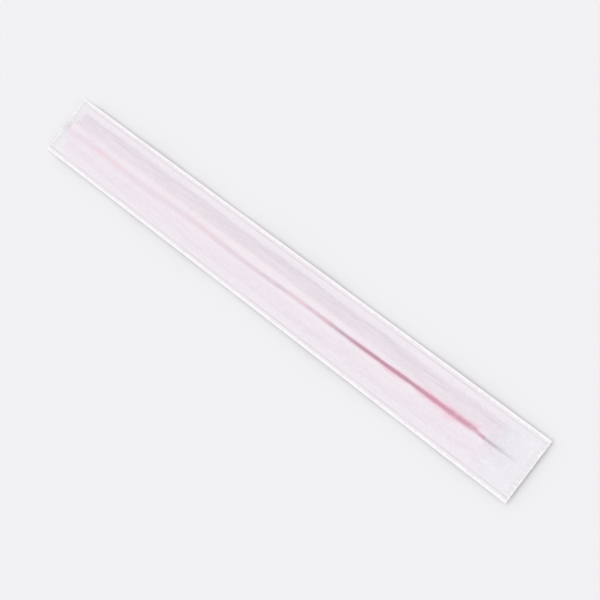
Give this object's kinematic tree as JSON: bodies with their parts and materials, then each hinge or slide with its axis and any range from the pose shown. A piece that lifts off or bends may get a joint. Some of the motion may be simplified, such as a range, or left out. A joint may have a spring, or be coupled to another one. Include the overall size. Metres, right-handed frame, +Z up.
{
  "type": "wrapped drinking straw",
  "caption": "Rose red plastic drinking straw sealed in a translucent white paper wrapper, with pressed side seals, ribbed end seals and flat tabs past the straw.",
  "frame": {"origin": "on the floor under the middle of the wrapper", "axes": "+X along the straw towards the long tab, +Y across the wrapper, +Z up from the floor"},
  "size_m": [0.221, 0.024, 0.0068],
  "materials": {
    "straw_plastic": "satin extruded polypropylene, rose red all through",
    "wrapper_paper": "matte thin white wrapping paper that lets light through"
  },
  "bodies": {
    "root": {"straw": "straw_plastic", "lower_paper": "wrapper_paper", "upper_paper": "wrapper_paper"}
  },
  "joints": []
}
